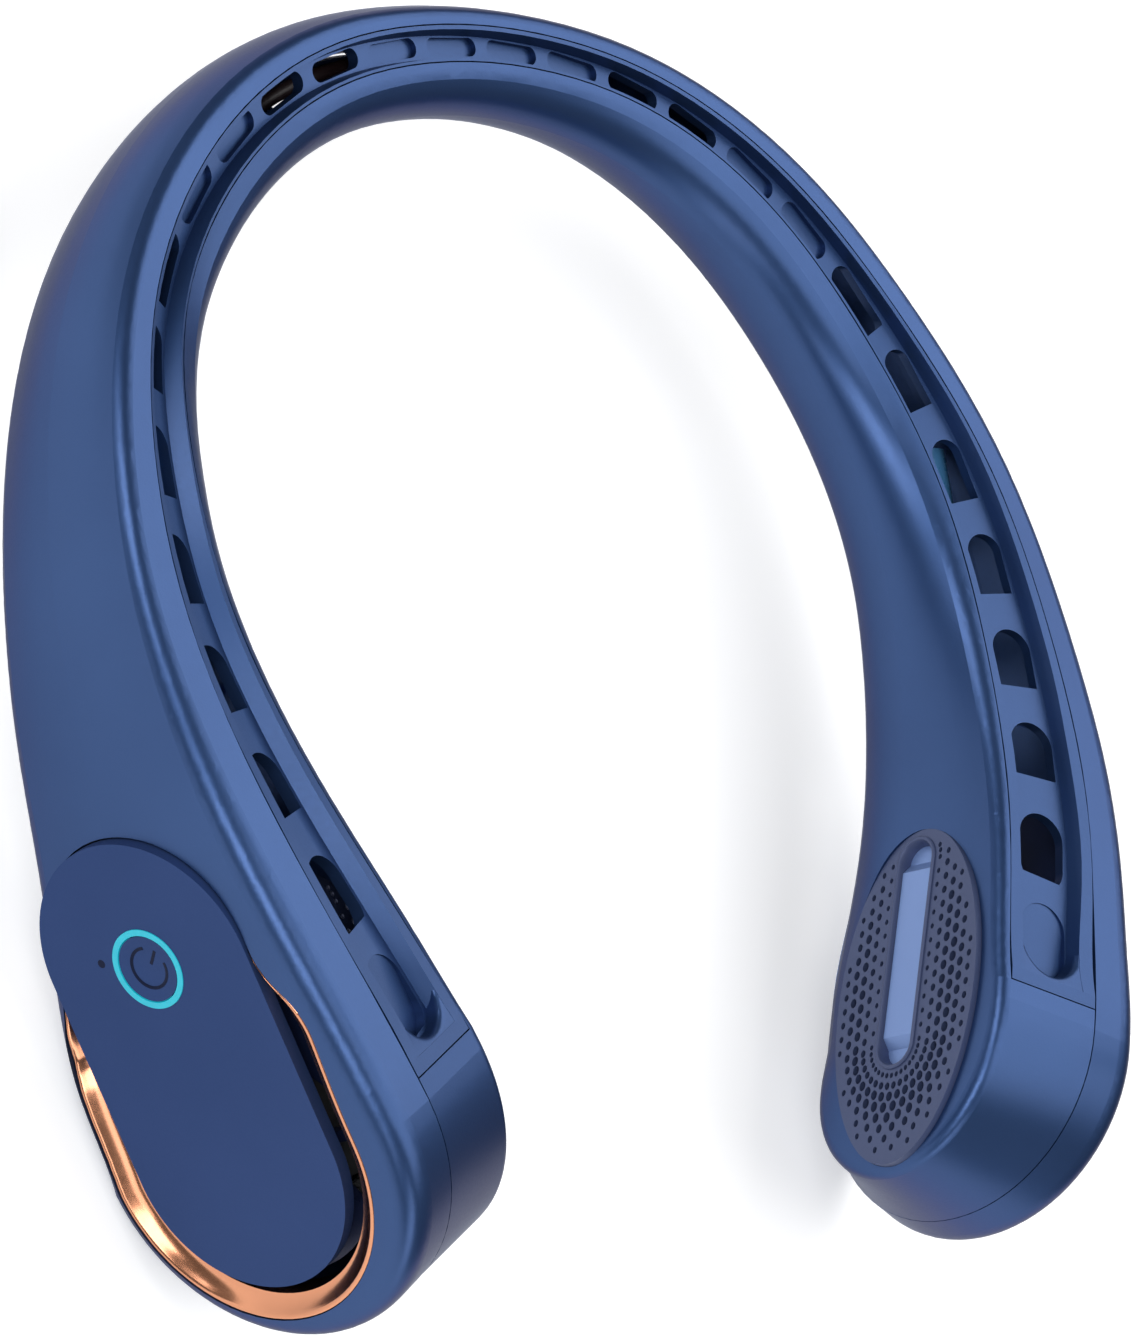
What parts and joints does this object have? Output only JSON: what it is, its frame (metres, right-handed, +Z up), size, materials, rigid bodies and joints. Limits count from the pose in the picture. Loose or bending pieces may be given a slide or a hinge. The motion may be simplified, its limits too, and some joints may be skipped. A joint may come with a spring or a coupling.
{
  "type": "electric neck fan",
  "caption": "U-shaped bladeless neck fan with slotted air-outlet strips, blower pods with long-oval intake covers in copper trim, perforated inner grilles and a lit power button.",
  "frame": {"origin": "middle of the inner side of the U at the nape, where the neck rests, at half the height of the band there", "axes": "+Z up as worn and as laid on a table, the opening of the U toward -Y, X across from arm to arm"},
  "size_m": [0.1988, 0.1836, 0.0521],
  "materials": {
    "shell_blue": "satin metallic blue paint",
    "copper_trim": "polished copper-coloured plating",
    "black_plastic": "matte black",
    "impeller_grey": "matte grey",
    "steel": "bright steel",
    "bearing_bronze": "sintered bronze",
    "stator_iron": "laminated iron with lacquered windings",
    "magnet_dark": "bonded magnet",
    "light_teal": "light pipe, lit",
    "pipe_clear": "dark clear light pipe",
    "board_green": "circuit board",
    "cell_wrap": "shrink wrap over a steel can",
    "wire_red": "insulated wires"
  },
  "bodies": {
    "housing": {"bottom_outlet_strip": "shell_blue", "button_light_ring": "light_teal", "button_switch": "black_plastic", "charging_socket": "steel", "control_board": "board_green", "indicator_pipe": "pipe_clear", "inner_shell": "shell_blue", "left_battery": "cell_wrap", "left_bearing": "bearing_bronze", "left_fan_scroll": "black_plastic", "left_inner_grille": "shell_blue", "left_intake_cover": "shell_blue", "left_intake_guard": "black_plastic", "left_motor_base": "black_plastic", "left_stator": "stator_iron", "left_trim_ring": "copper_trim", "motor_screws": "steel", "neck_cable": "wire_red", "outer_shell": "shell_blue", "right_battery": "cell_wrap", "right_bearing": "bearing_bronze", "right_fan_scroll": "black_plastic", "right_inner_grille": "shell_blue", "right_intake_cover": "shell_blue", "right_intake_guard": "black_plastic", "right_motor_base": "black_plastic", "right_stator": "stator_iron", "right_trim_ring": "copper_trim", "top_outlet_strip": "shell_blue"},
    "left_rotor": {"left_impeller": "impeller_grey", "left_magnet_ring": "magnet_dark", "left_shaft": "steel"},
    "right_rotor": {"right_impeller": "impeller_grey", "right_magnet_ring": "magnet_dark", "right_shaft": "steel"},
    "button": {"power_button": "shell_blue"}
  },
  "joints": [
    {"name": "left_rotor_spin", "type": "hinge", "parent": "housing", "child": "left_rotor", "pos_m": [-0.0669, -0.1399, 0.00399], "axis": [-0.9219, -0.3875, 0], "continuous": true},
    {"name": "right_rotor_spin", "type": "hinge", "parent": "housing", "child": "right_rotor", "pos_m": [0.0669, -0.1399, 0.00399], "axis": [0.9219, -0.3875, 0], "continuous": true},
    {"name": "button_press", "type": "slide", "parent": "housing", "child": "button", "axis": [0.9219, 0.3875, 0], "range_m": [0, 0.0005], "stiffness_N_per_m": 800}
  ]
}
